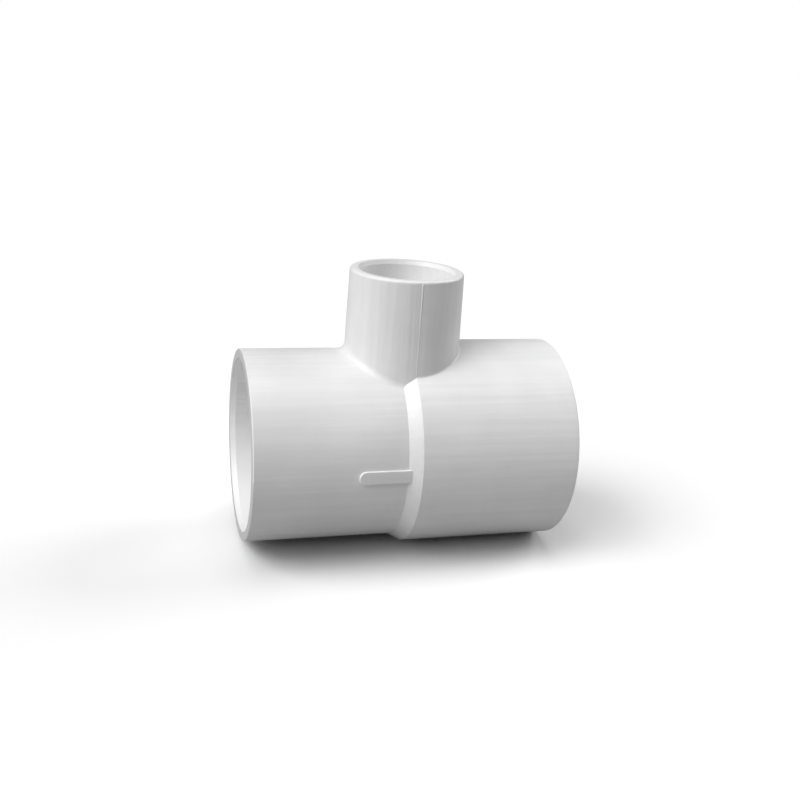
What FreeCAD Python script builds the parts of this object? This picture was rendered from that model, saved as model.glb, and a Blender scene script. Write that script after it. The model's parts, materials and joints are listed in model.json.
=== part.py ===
import FreeCAD, Part
import math
import os

# A reducing tee in white PVC for solvent-welded pipe: the same pipe fits both
# ends of the straight run, and a smaller pipe fits the branch. The real tee is
# one injection moulding, so the solids below are its natural regions, which
# meet face to face: the centre with the waterway, two run hubs, the branch hub,
# the bevelled step round the centre plane, and a blank raised pad.
#
# Millimetres. The origin is where the run's axis crosses the branch's axis.
# +X runs along the run, towards its thicker half. +Z runs up the branch.
# -Y is the side with the raised pad.

Vector = FreeCAD.Vector
X_AXIS = Vector(1, 0, 0)
Z_AXIS = Vector(0, 0, 1)

# Outside of the run. The mould parts on the plane x = 0: the half behind it is
# slimmer, and a bevel climbs from the slim half to the edge of the thick one.
RUN_END_X = 57.3
SLIM_R = 34.25
THICK_R = 37.0
STEP_WIDTH = 4.4
STEP_CREST_ROUND = 2.0
RUN_LIP_ROUND = 0.4

# Outside of the branch, which narrows upwards so that it leaves the mould.
BRANCH_TOP_Z = 64.0
BRANCH_TOP_R = 20.15
BRANCH_DRAFT_DEG = 1.0
BRANCH_LIP_ROUND = 1.0
SLIM_SIDE_FILLET = 3.0
THICK_SIDE_FILLET = 0.8

# Sockets for 60.3 mm and 33.4 mm pipe. A real socket narrows by about 0.3 mm in
# radius towards its shoulder; each is straight here, at its middle radius.
RUN_SOCKET_R = 30.2
RUN_SHOULDER_X = 22.2
BRANCH_SOCKET_R = 16.75
BRANCH_SHOULDER_Z = 35.4

# Lead-in bevels inside the mouths, which guide the pipe's end.
RUN_LEAD_DEPTH = 2.0
RUN_LEAD_WIDTH = 0.75
BRANCH_LEAD_DEPTH = 1.5
BRANCH_LEAD_WIDTH = 0.6

# Waterway between the three shoulders that stop the pipes.
RUN_WATERWAY_R = 27.9
BRANCH_WATERWAY_R = 14.9

# Blank raised pad on the slim half, with a round outer end.
PAD_TIP_X = -21.5
PAD_WIDTH = 4.6
PAD_HEIGHT = 0.8
PAD_EDGE_ROUND = 0.25

# How far a cutting tool runs past what it cuts.
OVERRUN = 5.0


def turned(outline, along, across):
    """Spin an outline of (distance, radius) points about the axis `along`."""
    points = [along * distance + across * radius for distance, radius in outline]
    face = Part.Face(Part.makePolygon(points + points[:1]))
    return face.revolve(Vector(0, 0, 0), along, 360)


def barrel(radius, start_x=-RUN_END_X, end_x=RUN_END_X):
    """A plain cylinder along the run."""
    return Part.makeCylinder(radius, end_x - start_x, Vector(start_x, 0, 0), X_AXIS)


def slab(start_x, end_x):
    """A block that holds everything between two planes across the run."""
    reach = BRANCH_TOP_Z + OVERRUN
    corner = Vector(start_x, -reach, -reach)
    return Part.makeBox(end_x - start_x, 2 * reach, 2 * reach, corner)


def branch_stem():
    """The branch's drafted outside, carried down to the run's axis."""
    widening = BRANCH_TOP_Z * math.tan(math.radians(BRANCH_DRAFT_DEG))
    return Part.makeCone(BRANCH_TOP_R + widening, BRANCH_TOP_R, BRANCH_TOP_Z)


def is_mouth_edge(edge):
    """True for the circles round the ends of the run and of the branch."""
    box = edge.BoundBox
    at_run_end = box.XLength < 0.01 and abs(abs(box.XMin) - RUN_END_X) < 0.01
    at_branch_top = box.ZLength < 0.01 and abs(box.ZMax - BRANCH_TOP_Z) < 0.01
    return at_run_end or at_branch_top


def is_root_edge(edge, radius):
    """True for the curve where the branch leaves a barrel of this radius."""
    middle = edge.valueAt((edge.FirstParameter + edge.LastParameter) / 2)
    on_barrel = abs(math.hypot(middle.y, middle.z) - radius) < 0.05
    inside_mouths = edge.BoundBox.XLength > 1 and abs(middle.x) < RUN_END_X - 1
    return on_barrel and inside_mouths and edge.BoundBox.XLength < 2 * RUN_SHOULDER_X


def solid_tee(radius, root_fillet):
    """A tee without bores: one barrel, the stem, its root fillet, round lips."""
    tee = barrel(radius).fuse(branch_stem())
    roots = [edge for edge in tee.Edges if is_root_edge(edge, radius)]
    tee = tee.makeFillet(root_fillet, roots)
    run_lips = [edge for edge in tee.Edges
                if is_mouth_edge(edge) and edge.BoundBox.XLength < 0.01]
    tee = tee.makeFillet(RUN_LIP_ROUND, run_lips)
    branch_lips = [edge for edge in tee.Edges
                   if is_mouth_edge(edge) and edge.BoundBox.ZLength < 0.01]
    return tee.makeFillet(BRANCH_LIP_ROUND, branch_lips)


def run_bore():
    """The space inside the run: two sockets, their bevels and the waterway."""
    bevel_x = RUN_END_X - RUN_LEAD_DEPTH
    mouth_r = RUN_SOCKET_R + RUN_LEAD_WIDTH
    half = [
        (RUN_SHOULDER_X, RUN_WATERWAY_R),
        (RUN_SHOULDER_X, RUN_SOCKET_R),
        (bevel_x, RUN_SOCKET_R),
        (RUN_END_X, mouth_r),
        (RUN_END_X + OVERRUN, mouth_r),
        (RUN_END_X + OVERRUN, 0),
    ]
    other_half = [(-x, r) for x, r in reversed(half)]
    return turned(half + other_half, X_AXIS, Z_AXIS)


def branch_bore():
    """The space inside the branch, from the run's axis to above its mouth."""
    outline = [
        (0, 0),
        (0, BRANCH_WATERWAY_R),
        (BRANCH_SHOULDER_Z, BRANCH_WATERWAY_R),
        (BRANCH_SHOULDER_Z, BRANCH_SOCKET_R),
        (BRANCH_TOP_Z - BRANCH_LEAD_DEPTH, BRANCH_SOCKET_R),
        (BRANCH_TOP_Z, BRANCH_SOCKET_R + BRANCH_LEAD_WIDTH),
        (BRANCH_TOP_Z + OVERRUN, BRANCH_SOCKET_R + BRANCH_LEAD_WIDTH),
        (BRANCH_TOP_Z + OVERRUN, 0),
    ]
    return turned(outline, Z_AXIS, X_AXIS)


def step_ring(slim_half):
    """The bevel that climbs to the thick half, cut round the branch's root."""
    outline = [(-STEP_WIDTH, SLIM_R), (0, THICK_R), (0, SLIM_R)]
    return turned(outline, X_AXIS, Z_AXIS).cut(slim_half)


def crest_waste():
    """What a tool rounding the step's crest takes off: a ring under an arc."""
    tilt = math.atan2(THICK_R - SLIM_R, STEP_WIDTH)
    reach = STEP_CREST_ROUND * math.tan(tilt / 2)
    centre = Vector(reach, 0, THICK_R - STEP_CREST_ROUND)
    on_barrel = centre + Z_AXIS * STEP_CREST_ROUND
    on_bevel = centre + Vector(-math.sin(tilt), 0, math.cos(tilt)) * STEP_CREST_ROUND
    between = centre + Vector(-math.sin(tilt / 2), 0, math.cos(tilt / 2)) * STEP_CREST_ROUND
    above = Vector(0, 0, THICK_R + OVERRUN)
    edges = [
        Part.Arc(on_bevel, between, on_barrel).toShape(),
        Part.makeLine(on_barrel, above),
        Part.makeLine(above, on_bevel),
    ]
    return Part.Face(Part.Wire(edges)).revolve(Vector(0, 0, 0), X_AXIS, 360)


def branch_region(slim_half, thick_half):
    """The branch down to the slim barrel's surface, with both root fillets."""
    core = barrel(SLIM_R)
    slim_side = slim_half.cut(core)
    above_thick_side = thick_half.cut(barrel(THICK_R))
    through_thick_wall = thick_half.common(branch_stem()).cut(core)
    return slim_side.fuse([above_thick_side, through_thick_wall])


def raised_pad(step):
    """A low bar along the front of the slim half, ending on the bevel."""
    end_r = PAD_WIDTH / 2
    length = -PAD_TIP_X - end_r
    outer = SLIM_R + PAD_HEIGHT
    bar = Part.makeBox(length, outer, PAD_WIDTH, Vector(-length, -outer, -end_r))
    round_end = Part.makeCylinder(end_r, outer, Vector(-length, -outer, 0), Vector(0, 1, 0))
    pad = bar.fuse(round_end).removeSplitter().common(barrel(outer, 2 * PAD_TIP_X, 0))
    rim = [edge for edge in pad.Edges if is_pad_rim(edge, outer)]
    pad = pad.makeFillet(PAD_EDGE_ROUND, rim)
    return pad.cut(barrel(SLIM_R)).cut(step)


def is_pad_rim(edge, outer):
    """True for an edge that borders the pad's top, except at the step."""
    middle = edge.valueAt((edge.FirstParameter + edge.LastParameter) / 2)
    return abs(math.hypot(middle.y, middle.z) - outer) < 0.01 and middle.x < -0.01


def build():
    """Make the whole outside, then share it out among the named regions."""
    slim_half = solid_tee(SLIM_R, SLIM_SIDE_FILLET).common(slab(-2 * RUN_END_X, 0))
    thick_half = solid_tee(THICK_R, THICK_SIDE_FILLET).common(slab(0, 2 * RUN_END_X))
    branch = branch_region(slim_half, thick_half)
    waste = crest_waste()
    step = step_ring(slim_half).cut(waste)
    run = slim_half.fuse(thick_half).cut(branch).cut(waste)
    bores = run_bore().fuse(branch_bore())
    left_end = slab(-2 * RUN_END_X, -RUN_SHOULDER_X)
    right_end = slab(RUN_SHOULDER_X, 2 * RUN_END_X)
    middle = slab(-RUN_SHOULDER_X, RUN_SHOULDER_X)
    return {
        "slim_run_hub": run.common(left_end).cut(bores),
        "thick_run_hub": run.common(right_end).cut(bores),
        "centre_body": run.common(middle).cut(bores),
        "branch_hub": branch.cut(bores),
        "step_ring": step,
        "raised_pad": raised_pad(step),
    }


def export(parts):
    """Write one STEP file for each region."""
    os.makedirs("parts", exist_ok=True)
    for name, shape in parts.items():
        shape = shape.removeSplitter()
        print(name, "solids", len(shape.Solids), "valid", shape.isValid(),
              "volume", round(shape.Volume, 1))
        shape.exportStep("parts/" + name + ".step")


export(build())
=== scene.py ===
# %% [markdown]
# # A white PVC reducing tee
#
# The object is a pipe fitting: a straight run that takes one pipe at each end, and a
# smaller branch on top. The real tee is one injection moulding in rigid white PVC.
# This lesson starts from its exact solids, gives them a moulded finish, adds the
# fine ridges that a mould leaves where its parts meet, and lights the result softly.
#
# Every length is in metres. +X runs along the run, +Z up the branch, and -Y is the
# side with the raised pad.

import json
import math

import bmesh
import bpy
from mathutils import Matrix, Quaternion, Vector
from mathutils.bvhtree import BVHTree


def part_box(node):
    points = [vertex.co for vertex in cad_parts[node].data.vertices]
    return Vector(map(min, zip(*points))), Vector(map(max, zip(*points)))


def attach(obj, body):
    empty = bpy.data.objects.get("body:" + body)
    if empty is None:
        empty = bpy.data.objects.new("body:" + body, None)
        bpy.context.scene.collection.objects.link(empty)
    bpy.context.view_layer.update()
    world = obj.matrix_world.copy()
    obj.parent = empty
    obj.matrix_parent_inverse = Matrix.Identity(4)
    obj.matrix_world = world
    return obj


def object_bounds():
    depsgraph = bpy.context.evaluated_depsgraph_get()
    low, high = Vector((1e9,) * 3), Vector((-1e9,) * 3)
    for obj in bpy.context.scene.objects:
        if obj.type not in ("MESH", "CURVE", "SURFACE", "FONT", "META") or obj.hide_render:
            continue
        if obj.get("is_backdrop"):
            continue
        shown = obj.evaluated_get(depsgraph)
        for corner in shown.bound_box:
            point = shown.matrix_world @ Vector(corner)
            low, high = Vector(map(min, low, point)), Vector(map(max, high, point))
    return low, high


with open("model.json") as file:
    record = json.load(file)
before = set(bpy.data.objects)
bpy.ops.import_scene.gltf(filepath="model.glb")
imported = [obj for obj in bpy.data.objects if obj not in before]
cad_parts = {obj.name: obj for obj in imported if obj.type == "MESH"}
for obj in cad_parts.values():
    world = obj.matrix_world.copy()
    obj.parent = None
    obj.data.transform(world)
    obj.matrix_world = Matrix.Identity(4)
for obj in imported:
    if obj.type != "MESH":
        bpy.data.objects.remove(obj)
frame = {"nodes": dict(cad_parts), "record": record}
cad_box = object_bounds()
scene = bpy.context.scene

for name in sorted(frame["nodes"]):
    low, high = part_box(name)
    size_mm = [round(side * 1000, 1) for side in high - low]
    print("region", name, "measures", size_mm, "mm")

# %% [markdown]
# ## Measure what the later steps lean on
#
# The finish changes inside the bores, and the ridges have to sit on the moulding's
# own surfaces, so their places are read and not typed. The record's mounts hold the
# bore radii, and the solids' box gives the ends of the run and its widest radius.

# %% Read the sizes
MM = 0.001

bores = {mount["name"]: mount["dims"]["r_mm"] * MM for mount in frame["record"]["mounts"]}
run_end = cad_box[1].x
widest_radius = cad_box[1].y
branch_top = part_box("branch_hub")[1].z

print("bores in mm", {name: round(radius / MM, 2) for name, radius in bores.items()})
print("run ends", round(run_end / MM, 2), "mm from the middle")
print("branch top", round(branch_top / MM, 2), "mm above the run's axis")

# %% [markdown]
# ## Helpers for materials
#
# A procedural material is a small graph of nodes. Clicking it together in the editor
# is fine for one, but two almost equal ones are easier to keep alike in code. These
# helpers add a node with its settings in one line, so that each material below reads
# as a list of what it has.

# %% Node helpers
def new_material(name):
    """An empty material: its node tree, and a Principled shader on its output."""
    material = bpy.data.materials.new(name)
    material.use_nodes = True
    tree = material.node_tree
    tree.nodes.clear()
    output = tree.nodes.new("ShaderNodeOutputMaterial")
    shader = tree.nodes.new("ShaderNodeBsdfPrincipled")
    tree.links.new(shader.outputs["BSDF"], output.inputs["Surface"])
    return material, tree, shader


def add(tree, kind, inputs=None, **settings):
    """Add one node, set its options, and set or link its inputs by name or number."""
    node = tree.nodes.new("ShaderNode" + kind)
    for key, value in settings.items():
        setattr(node, key, value)
    for key, value in (inputs or {}).items():
        if isinstance(value, bpy.types.NodeSocket):
            tree.links.new(value, node.inputs[key])
        else:
            node.inputs[key].default_value = value
    return node


def remap(tree, value, low, high, start=0.3, end=0.7):
    """Spread a pattern's part from start to end over low to high. Noise seldom leaves
    the part from 0.3 to 0.7, so that is what is spread if nothing else is asked."""
    node = add(tree, "MapRange", {
        "Value": value, "From Min": start, "From Max": end,
        "To Min": low, "To Max": high})
    return node.outputs["Result"]


def arithmetic(tree, operation, first, second):
    """One sum on two values."""
    return add(tree, "Math", {0: first, 1: second}, operation=operation).outputs[0]


def mixed(tree, factor, first, second):
    """One colour fading into another. The Mix node keeps a set of sockets for each type
    of data: for colours, these are its inputs 6 and 7, and its output 2."""
    mix = add(tree, "Mix", {"Factor": factor, 6: first, 7: second}, data_type="RGBA")
    return mix.outputs[2]


# %% [markdown]
# ## Patterns on the plastic
#
# Every pattern here is a noise read at the point's place on the object, so nothing
# has to be unwrapped and the pattern runs on from one region into the next. A noise
# that is drawn out along one axis turns from blotches into streaks. The Mapping
# node's texture mode turns first and stretches after, which is the order wanted.

# %% Pattern helpers
def blotches(tree, width, detail=2.0, drawn_out=(1, 1, 1), turn_deg=0):
    """Noise with spots about this wide, and drawn_out times longer on each axis."""
    place = add(tree, "TexCoord").outputs["Object"]
    turned = add(tree, "Mapping", {
        "Vector": place, "Rotation": (0, math.radians(turn_deg), 0),
        "Scale": drawn_out}, vector_type="TEXTURE").outputs["Vector"]
    noise = add(tree, "TexNoise", {
        "Vector": turned, "Scale": 1 / width, "Detail": detail})
    return noise.outputs["Fac"]


def relief(tree, height, depth, strength, under=None):
    """Turn a pattern into relief of the given depth, on top of another relief."""
    inputs = {"Height": height, "Distance": depth, "Strength": strength}
    if under is not None:
        inputs["Normal"] = under
    return add(tree, "Bump", inputs).outputs["Normal"]


def distance(tree, axes):
    """How far a point is from the middle of the tee, counting only these axes."""
    place = add(tree, "TexCoord").outputs["Object"]
    kept = add(tree, "VectorMath", {0: place, 1: axes}, operation="MULTIPLY").outputs[0]
    return add(tree, "VectorMath", {0: kept}, operation="LENGTH").outputs["Value"]


# %% [markdown]
# ## Where the polished cores touched
#
# The outside of a fitting is shaped by a steel mould with a dull finish, and its bores
# by polished steel cores, so a socket's wall is glossier than the outside. One solid
# carries both walls. Instead of painting faces, the material can ask how far a point
# is from the bore's axis: no further than the bore's radius, it is on a core's side.
#
# A map range over a narrow band makes that switch, 1 inside and 0 outside. The band
# lies a little outside the bore's radius, so that the whole wall of the bore is in,
# and the finish changes softly across the lead-in at the mouth.

# %% The inside of a bore
BORE_EDGE_START = 0.2 * MM
BORE_EDGE_END = 0.9 * MM


def inside_bore(tree, across, radius):
    """1 nearer to the bore's axis than its radius, 0 further out."""
    return remap(tree, distance(tree, across), 1.0, 0.0,
                 start=radius + BORE_EDGE_START, end=radius + BORE_EDGE_END)


# %% [markdown]
# ## The run's end faces
#
# Many tees are pushed off their cores by steel stripper rings, which press on the flat
# ends of the run and rub them dull, so the end faces of this tee are made rougher than
# the skin. Their colour is greyer too: that is painted shade, for the darker tone that
# the light leaves on these flat ends. They are the only places so far from the middle,
# so the distance along X finds them.

# %% The flat ends of the run
END_FACE_START = 0.20 * MM
END_FACE_FULL = 0.02 * MM


def on_end_face(tree):
    """1 on the two end faces of the run, 0 elsewhere."""
    return remap(tree, distance(tree, (1, 0, 0)), 0.0, 1.0,
                 start=run_end - END_FACE_START, end=run_end - END_FACE_FULL)


# %% [markdown]
# ## Handling scuffs
#
# Fittings travel loose in bags and rub on each other, so their skin has faint, short
# hairlines in a few directions. A noise drawn out a lot makes long thin blotches, and
# keeping only its highest values leaves scattered hairlines. Three turned copies are
# enough, and they change the gloss a little, never the colour.

# %% Hairlines
HAIRLINE_TURNS_DEG = (17, 71, 128)
HAIRLINE_SPACING = 1.1 * MM
HAIRLINE_DRAWN_OUT = (28, 1, 1)
HAIRLINE_FAINT, HAIRLINE_FULL = 0.70, 0.80


def hairlines(tree):
    """Scattered thin lines in three directions, from 0 to 1."""
    total = 0.0
    for turn_deg in HAIRLINE_TURNS_DEG:
        lines = blotches(tree, HAIRLINE_SPACING, detail=1,
                         drawn_out=HAIRLINE_DRAWN_OUT, turn_deg=turn_deg)
        lines = remap(tree, lines, 0.0, 1.0, start=HAIRLINE_FAINT, end=HAIRLINE_FULL)
        total = arithmetic(tree, "MAXIMUM", lines, total)
    return total


# %% [markdown]
# ## The colour of the plastic
#
# Pipe fittings are white because the plastic is full of a white pigment, so almost
# no light passes through, and a plain opaque shader serves better than a translucent
# one. The white still isn't even: it drifts over a centimetre or two, and the part
# scrapes along the steel as it is pushed out, which leaves faint streaks. Drift and
# streaks are two noises that are added up before they choose between two whites.

# %% Colour of the skin
WHITE = (0.90, 0.902, 0.898, 1)
SHADED_WHITE = (0.84, 0.843, 0.841, 1)
# Painted shade: this grey on the end faces stands in for the darker light that falls on
# them.
END_FACE_PAINTED_SHADE = (0.64, 0.643, 0.64, 1)
DRIFT_WIDTH = 18 * MM
DRIFT_SHADED, DRIFT_WHITE = 0.75, 1.25


def pvc_colour(tree, dragged, inside, end_face_shade_and_rubbing, bore_white_and_painted_light):
    """Drifting, streaked white, the bores' even white (painted light in the branch), and
    painted shade on the end faces.
    """
    both = arithmetic(tree, "ADD", blotches(tree, DRIFT_WIDTH, detail=3), dragged)
    drift = remap(tree, both, 0.0, 1.0, start=DRIFT_SHADED, end=DRIFT_WHITE)
    skin = mixed(tree, drift, SHADED_WHITE, WHITE)
    with_bores = mixed(tree, inside, skin, bore_white_and_painted_light)
    return mixed(tree, end_face_shade_and_rubbing, with_bores, END_FACE_PAINTED_SHADE)


# %% [markdown]
# ## The gloss of the plastic
#
# Injection-moulded PVC has a satin gloss. It is written as one sum, because each
# cause adds or takes a little roughness by itself: the cloudy skin, the hairlines,
# the polished cores and the rubbed end faces.

# %% Roughness
GLOSS_WIDTH = 8.3 * MM
SATIN_LOW, SATIN_HIGH = 0.335, 0.42
SCUFF_ROUGHNESS = 0.10
CORE_POLISH = -0.05
RUBBED_ROUGHNESS = 0.15


def pvc_roughness(tree, inside, end_face_shade_and_rubbing):
    """The satin skin, and what hairlines, cores and rubbing change."""
    total = remap(tree, blotches(tree, GLOSS_WIDTH, detail=4), SATIN_LOW, SATIN_HIGH)
    changes = ((hairlines(tree), SCUFF_ROUGHNESS), (inside, CORE_POLISH),
               (end_face_shade_and_rubbing, RUBBED_ROUGHNESS))
    for where, amount in changes:
        total = arithmetic(tree, "ADD", total, arithmetic(tree, "MULTIPLY", where, amount))
    return total


# %% [markdown]
# ## The relief of the plastic
#
# Three reliefs lie on each other. Thick sections shrink as they cool, which leaves
# shallow waves. The steel drags streaks along the way the part left it. The roughly
# polished mould prints a very fine orange peel. None is deep enough to need real
# geometry, and none changes the outline, so bump nodes are the right tool.

# %% Relief
WAVE_WIDTH, WAVE_DEPTH, WAVE_STRENGTH = 17 * MM, 0.12 * MM, 0.5
PEEL_WIDTH, PEEL_DEPTH, PEEL_STRENGTH = 0.9 * MM, 0.012 * MM, 0.4
STREAK_STRENGTH = 1.0


def pvc_relief(tree, dragged, streak_depth):
    """Sink waves, ejection streaks and orange peel."""
    waves = relief(tree, blotches(tree, WAVE_WIDTH, detail=1), WAVE_DEPTH, WAVE_STRENGTH)
    drag = relief(tree, dragged, streak_depth, STREAK_STRENGTH, under=waves)
    peel = blotches(tree, PEEL_WIDTH)
    return relief(tree, peel, PEEL_DEPTH, PEEL_STRENGTH, under=drag)


# %% [markdown]
# ## Two whites for two pulls
#
# The run's cores are pulled sideways and the branch's core upwards, so the streaks
# and the bores of the two lie across each other. The plastic is the same, so both
# materials come from one function, and only a few values differ. The branch's streaks
# are deeper, and its bore is painted a touch whiter: painted light, which lifts the
# shade inside the branch.

# %% Make the white PVC
STREAK_WIDTH = 2 * MM
STREAK_DRAWN_OUT = 33
PVC_IOR = 1.53


def white_pvc(name, drawn_out, streak_depth, bore_across, bore_radius, bore_white_and_painted_light):
    """White PVC with its streaks, and the bore that a polished core left."""
    material, tree, shader = new_material(name)
    dragged = blotches(tree, STREAK_WIDTH, detail=4, drawn_out=drawn_out)
    inside = inside_bore(tree, bore_across, bore_radius)
    # This mask paints shade into the end faces' colour and also makes them rougher.
    end_face_shade_and_rubbing = on_end_face(tree)
    shader.inputs["IOR"].default_value = PVC_IOR
    tree.links.new(pvc_colour(tree, dragged, inside, end_face_shade_and_rubbing, bore_white_and_painted_light),
                   shader.inputs["Base Color"])
    tree.links.new(pvc_roughness(tree, inside, end_face_shade_and_rubbing), shader.inputs["Roughness"])
    tree.links.new(pvc_relief(tree, dragged, streak_depth), shader.inputs["Normal"])
    print(name, "has", len(tree.nodes), "nodes")
    return material


run_pvc = white_pvc(
    "white_pvc_run", drawn_out=(STREAK_DRAWN_OUT, 1, 1), streak_depth=0.07 * MM,
    bore_across=(0, 1, 1), bore_radius=bores["slim_run_socket"],
    bore_white_and_painted_light=(0.90, 0.902, 0.90, 1))
# Painted light: the branch's bore white is lighter than the skin, to lift the shade inside
# it.
branch_pvc = white_pvc(
    "white_pvc_branch", drawn_out=(1, 1, STREAK_DRAWN_OUT), streak_depth=0.17 * MM,
    bore_across=(1, 1, 0), bore_radius=bores["branch_socket"],
    bore_white_and_painted_light=(0.95, 0.952, 0.95, 1))

# %% [markdown]
# ## Dress the moulded regions
#
# The solids already have the right shape, so they stay, and only their material
# changes. Each region is the same plastic, and the branch gets the upright copy.

# %% Assign the materials
for name, node in frame["nodes"].items():
    node.data.materials.clear()
    node.data.materials.append(branch_pvc if name == "branch_hub" else run_pvc)
    print("dressed", name)

# %% [markdown]
# ## Find the skin of the moulding
#
# Where two mould parts meet, a little plastic creeps into the joint and leaves a
# ridge a tenth of a millimetre high. To lay such a ridge exactly on the surface, the
# surface has to be found. A search tree over the solids' triangles answers one
# question quickly: going this way from here, where is the first wall?

# %% Search tree
def skin_of(nodes):
    """A search tree over the triangles of all the given solids."""
    shape = bmesh.new()
    for node in nodes:
        shape.from_mesh(node.data)
    tree = BVHTree.FromBMesh(shape)
    shape.free()
    return tree


skin = skin_of(frame["nodes"].values())
print("the search tree holds the skin of", len(frame["nodes"]), "solids")


def first_wall(start, direction):
    """The first point of the moulding that a straight line from start meets."""
    return skin.ray_cast(start, direction)[0]


# %% [markdown]
# ## How to make a ridge
#
# A curve with a bevel would make a round wire lying on the wall. A parting ridge is
# flatter: wide feet that melt into the wall, and a low crown. So it starts as a flat
# ribbon, a grid with four cells across. Each point is laid on the skin and lifted by
# a crown that is highest in the middle, while the feet dip just under the skin.
# Solidify then gives the ribbon a back, buried in the wall, so that it is closed.
#
# Solidify works inwards from the way the faces look, so they are turned outwards
# first, by asking one of them. The grid is one metre square and centred, so a point's
# own X and Y say how far across the ribbon it is, from -1 to 1, and how far along it,
# from 0 to 1.

# %% Ridge helper
RIDGE_CELLS_ACROSS = 4
FOOT_FROM = 0.9
FOOT_SINK = 0.03 * MM
ROOT_DEPTH = 0.25 * MM


def lay_ribbon(shape, lay, height):
    """Lay a flat grid on the skin: lay(across, along) gives a point and its outside."""
    for vertex in shape.verts:
        across, along = 2 * vertex.co.x, vertex.co.y + 0.5
        point, outwards = lay(across, along)
        at_foot = abs(across) > FOOT_FROM
        crown = height(along) * (1 - across * across)
        vertex.co = point + outwards * (-FOOT_SINK if at_foot else crown)


def make_ridge(name, rows, lay, height, material):
    """A closed ridge along the skin, riding with the tee."""
    shape = bmesh.new()
    bmesh.ops.create_grid(shape, x_segments=RIDGE_CELLS_ACROSS, y_segments=rows, size=0.5)
    lay_ribbon(shape, lay, height)
    shape.normal_update()
    shape.faces.ensure_lookup_table()
    if shape.faces[0].normal.dot(lay(-1, 0)[1]) < 0:
        bmesh.ops.reverse_faces(shape, faces=shape.faces)
    bmesh.ops.solidify(shape, geom=list(shape.faces), thickness=ROOT_DEPTH)
    bmesh.ops.recalc_face_normals(shape, faces=shape.faces)
    mesh = bpy.data.meshes.new(name)
    shape.to_mesh(mesh)
    shape.free()
    mesh.shade_smooth()
    mesh.materials.append(material)
    piece = bpy.data.objects.new(name, mesh)
    scene.collection.objects.link(piece)
    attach(piece, "root")
    print(name, "has", len(mesh.polygons), "faces")


# %% [markdown]
# ## The parting ridges of the branch
#
# The step round the middle of the run suggests that this mould opened along the run,
# with its halves meeting in the plane across the middle. On the branch such a joint
# shows as two upright ridges, one at the front and one at the back. They are highest
# under the lip, and fade to a trace a little past half way down.
#
# The ribbon is laid on the branch by looking for the wall at every height, so that
# it follows the slight taper of the branch without any number for it.

# %% Ridges down the branch
FAR_OUT = 0.1
BRANCH_RIDGE_WIDTH = 0.75 * MM
RIDGE_TOP = branch_top - 0.9 * MM
RIDGE_FOOT = branch_top - 32.4 * MM
RIDGE_FOOT_HEIGHT = 0.035 * MM
FADED_AT = 0.6
FRONT_RIDGE_HEIGHT = 0.14 * MM
BACK_RIDGE_HEIGHT = 0.12 * MM
ROWS_DOWN_THE_BRANCH = 80


def down_the_branch(side):
    """Points down the branch's wall: side is -1 at the front and 1 at the back."""
    def lay(across, along):
        x = across * BRANCH_RIDGE_WIDTH / 2
        z = RIDGE_TOP + along * (RIDGE_FOOT - RIDGE_TOP)
        point = first_wall(Vector((x, side * FAR_OUT, z)), Vector((0, -side, 0)))
        return point, Vector((point.x, point.y, 0)).normalized()
    return lay


def fading_from(top_height):
    """A ridge height that falls smoothly from the lip to its lowest, and stays."""
    def height(along):
        way = min(1.0, along / FADED_AT)
        ease = way * way * (3 - 2 * way)
        return top_height + (RIDGE_FOOT_HEIGHT - top_height) * ease
    return height


make_ridge("branch_parting_ridge_front", ROWS_DOWN_THE_BRANCH, down_the_branch(-1),
           fading_from(FRONT_RIDGE_HEIGHT), branch_pvc)
make_ridge("branch_parting_ridge_back", ROWS_DOWN_THE_BRANCH, down_the_branch(1),
           fading_from(BACK_RIDGE_HEIGHT), branch_pvc)

# %% [markdown]
# ## The parting ridge round the run
#
# The same joint goes on round the run, along the crest of the step, from one side of
# the branch's root underneath to the other. It is lower there, because the crest is
# the widest place of the moulding, and nothing added may make the tee wider. So the
# script measures the room that is left over the crest. The ribbon is laid the same
# way, looking inwards from all round the run.

# %% Ridge along the crest
RUN_RIDGE_WIDTH = 0.6 * MM
ROWS_ROUND_THE_RUN = 290
CREST_TRIM = 0.02 * MM
CREST_RIDGE_HEIGHT = 0.08 * MM
ROOT_ANGLE_DEG = 35.0


def around_run(turn_deg):
    """The way out from the run's axis, turned from straight up towards the front."""
    turn = math.radians(turn_deg)
    return Vector((0, -math.sin(turn), math.cos(turn)))


def turn_of(along, start_deg):
    """The angle reached on the way round, leaving out the branch's own part."""
    return start_deg + along * (360 - 2 * start_deg)


def around_the_crest(across, along):
    """Points round the crest of the step, and the way outwards."""
    out = around_run(turn_of(along, ROOT_ANGLE_DEG))
    beside = Vector((across * RUN_RIDGE_WIDTH / 2, 0, 0))
    return first_wall(beside + out * FAR_OUT, -out), out


lowest_of_crest = around_the_crest(0, 0.5)[0]
crest_room = widest_radius - CREST_TRIM + lowest_of_crest.z
print("room over the crest:", round(crest_room / MM, 3), "mm")


def crest_height(along):
    """As high as the ridge wants to be, or as the moulding leaves room for."""
    return min(crest_room, CREST_RIDGE_HEIGHT)


make_ridge("crest_parting_ridge", ROWS_ROUND_THE_RUN, around_the_crest,
           crest_height, run_pvc)

# %% [markdown]
# ## The core line in the waterway
#
# The bore of the run is shaped by two cores, one pulled out of each end. Where they
# touch, in the middle of the tee, they leave one thin line round the waterway, which
# the branch's opening interrupts. It shows through the mouths, and runs out to nothing
# over the first and last thirtieth of its way round.

# %% Line where the cores met
CORE_LINE_HEIGHT = 0.10 * MM
RUN_OUT = 30
OPENING_MARGIN_DEG = 1.5
opening_share = bores["branch_waterway"] / bores["run_waterway"]
opening_deg = OPENING_MARGIN_DEG + math.degrees(math.asin(opening_share))
print("the branch's opening reaches", round(opening_deg, 1), "degrees to each side")


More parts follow.
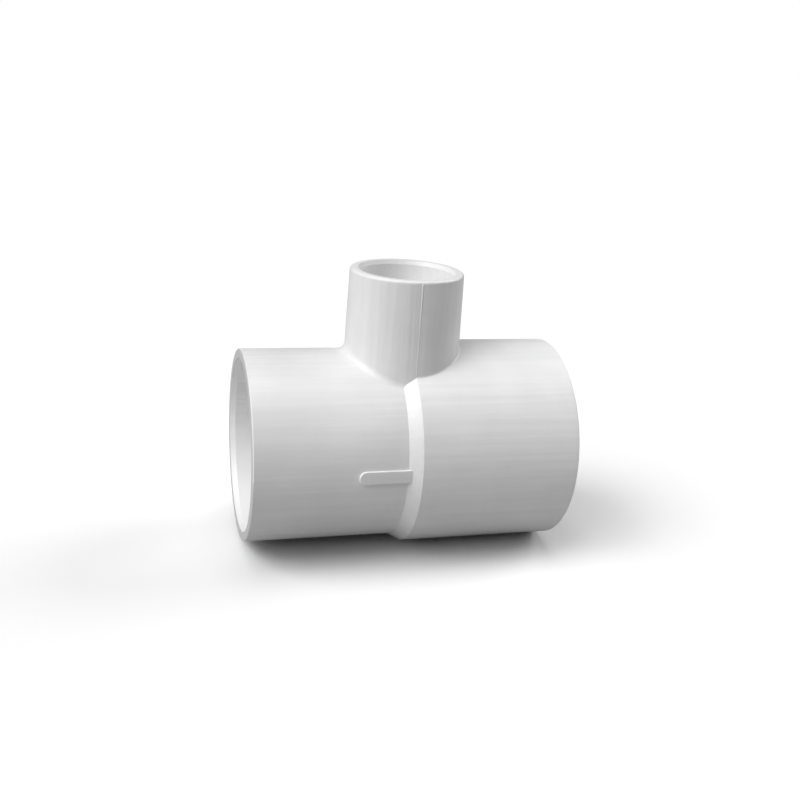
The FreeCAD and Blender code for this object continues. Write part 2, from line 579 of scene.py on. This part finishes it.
def around_the_waterway(across, along):
    """Points round the waterway's wall, and the way towards the axis."""
    out = around_run(turn_of(along, opening_deg))
    beside = Vector((across * RUN_RIDGE_WIDTH / 2, 0, 0))
    return first_wall(beside, out), -out


def core_line_height(along):
    """Low, and running out to nothing beside the branch's opening."""
    return CORE_LINE_HEIGHT * min(1.0, along * RUN_OUT, (1 - along) * RUN_OUT)


make_ridge("core_line", ROWS_ROUND_THE_RUN, around_the_waterway,
           core_line_height, run_pvc)

# %% [markdown]
# ## The stage
#
# White plastic on a white sheet is a classic studio problem. If the sheet throws
# back as much light as it shows, the underside of the part loses its shade, and the
# shape goes flat. In a studio the sheet near the part is flagged off with black card.
# Here the floor's shader does the flagging: it looks pale from where a camera is,
# and it throws less light on to the part.

# %% Floor
FLOOR_SIZE = 400.0
FLOOR_SEEN = (0.95, 0.95, 0.95, 1)
FLOOR_THROWN = (0.42, 0.42, 0.42, 1)
FLOOR_ROUGHNESS = 0.9


def pale_floor(height):
    """A wide flat sheet under the object."""
    mesh = bpy.data.meshes.new("floor")
    shape = bmesh.new()
    bmesh.ops.create_grid(shape, x_segments=1, y_segments=1, size=FLOOR_SIZE / 2)
    bmesh.ops.translate(shape, verts=shape.verts, vec=(0, 0, height))
    shape.to_mesh(mesh)
    shape.free()
    floor = bpy.data.objects.new("floor", mesh)
    scene.collection.objects.link(floor)
    material, tree, shader = new_material("pale_floor")
    seen = add(tree, "LightPath").outputs["Is Camera Ray"]
    sheet = mixed(tree, seen, FLOOR_THROWN, FLOOR_SEEN)
    tree.links.new(sheet, shader.inputs["Base Color"])
    shader.inputs["Roughness"].default_value = FLOOR_ROUGHNESS
    shader.inputs["Specular IOR Level"].default_value = 0.0
    mesh.materials.append(material)
    floor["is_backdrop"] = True


pale_floor(cad_box[0].z)
print("floor at", round(cad_box[0].z / MM, 2), "mm")

# %% [markdown]
# ## Soft light
#
# Five soft sources light the part. The key stands high at the front left, and another
# below it fills the lower half of the front. One at the left end looks into the open
# mouth, one low on the right and a little behind keeps that side from going black,
# and the last, straight above, lifts the tops. A sun lamp with a wide disc gives the
# soft edge of a large panel, and reaches every side of the object alike.
#
# Each row below says how far round from the front to the left a light stands, how
# high it is raised, both in degrees, and how strong it is.

# %% Lights
LIGHTS = [
    ("key", 60, 60, 0.95),
    ("left", 90, 45, 1.00),
    ("front_left", 60, 32, 0.85),
    ("right", 255, 32, 1.20),
    ("overhead", 0, 90, 0.85),
]
SPREAD_DEG = 36


def soft_sun(name, turn_deg, rise_deg, strength):
    """A wide sun lamp: turned from the front to the left, and raised."""
    turn, rise = math.radians(turn_deg), math.radians(rise_deg)
    towards = Vector((-math.sin(turn) * math.cos(rise),
                      -math.cos(turn) * math.cos(rise), math.sin(rise)))
    lamp = bpy.data.lights.new(name, "SUN")
    lamp.energy = strength
    lamp.angle = math.radians(SPREAD_DEG)
    sun = bpy.data.objects.new(name, lamp)
    sun.rotation_mode = "QUATERNION"
    sun.rotation_quaternion = towards.to_track_quat("Z", "Y")
    scene.collection.objects.link(sun)
    print(name, "shines from", [round(part, 2) for part in towards])


for light in LIGHTS:
    soft_sun(*light)

# %% [markdown]
# ## The room
#
# Behind the floor's edge there is only the world. It is white where it is seen, so
# that the floor has no visible end, and gives no light of its own, so that all the
# shade on the part comes from the five lights and the floor.

# %% World
world = bpy.data.worlds.new("studio")
scene.world = world
world.use_nodes = True
room = world.node_tree
background = room.nodes["Background"]
background.inputs["Color"].default_value = (1, 1, 1, 1)
path = room.nodes.new("ShaderNodeLightPath")
room.links.new(path.outputs["Is Camera Ray"], background.inputs["Strength"])
scene.view_settings.view_transform = "Standard"
print("the world is white where it is seen, and dark where it would give light")

# %% [markdown]
# ## The camera
#
# The camera looks at the front from a little to the left and above, so that the open
# left mouth shows as a thin crescent and the branch's top as a flat ellipse. It is
# held slightly turned, so that the run climbs a little to the right. It aims near
# the middle of the solids' box.

# %% Camera
AIM_OFFSET = Vector((2.2, 4.3, 0.4)) * MM
DISTANCE = 374.6 * MM
FROM_THE_LEFT_DEG = 16.79
ABOVE_DEG = 18.68
TILT_DEG = 4.21
LENS_MM = 45.37
NEAREST_SEEN = 10 * MM


def place_camera():
    """Put the camera on its stand and make it the scene's own."""
    aim = (cad_box[0] + cad_box[1]) / 2 + AIM_OFFSET
    turn, rise = math.radians(FROM_THE_LEFT_DEG), math.radians(ABOVE_DEG)
    back = Vector((-math.sin(turn) * math.cos(rise),
                   -math.cos(turn) * math.cos(rise), math.sin(rise)))
    camera = bpy.data.objects.new("camera", bpy.data.cameras.new("camera"))
    camera.data.lens = LENS_MM
    camera.data.clip_start = NEAREST_SEEN
    camera.location = aim + back * DISTANCE
    camera.rotation_mode = "QUATERNION"
    level = (-back).to_track_quat("-Z", "Y")
    camera.rotation_quaternion = level @ Quaternion((0, 0, 1), math.radians(TILT_DEG))
    scene.collection.objects.link(camera)
    scene.camera = camera
    print("camera at", [round(part, 3) for part in camera.location])


place_camera()

# %% [markdown]
# ## The size before and after the finish
#
# Nothing that was added may stand proud of the solids, so both boxes are printed
# side by side.

# %% Finish
visual_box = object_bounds()

for label, (low, high) in (("solids", cad_box), ("finished", visual_box)):
    print(label, "measure", [round(side / MM, 2) for side in high - low], "mm")
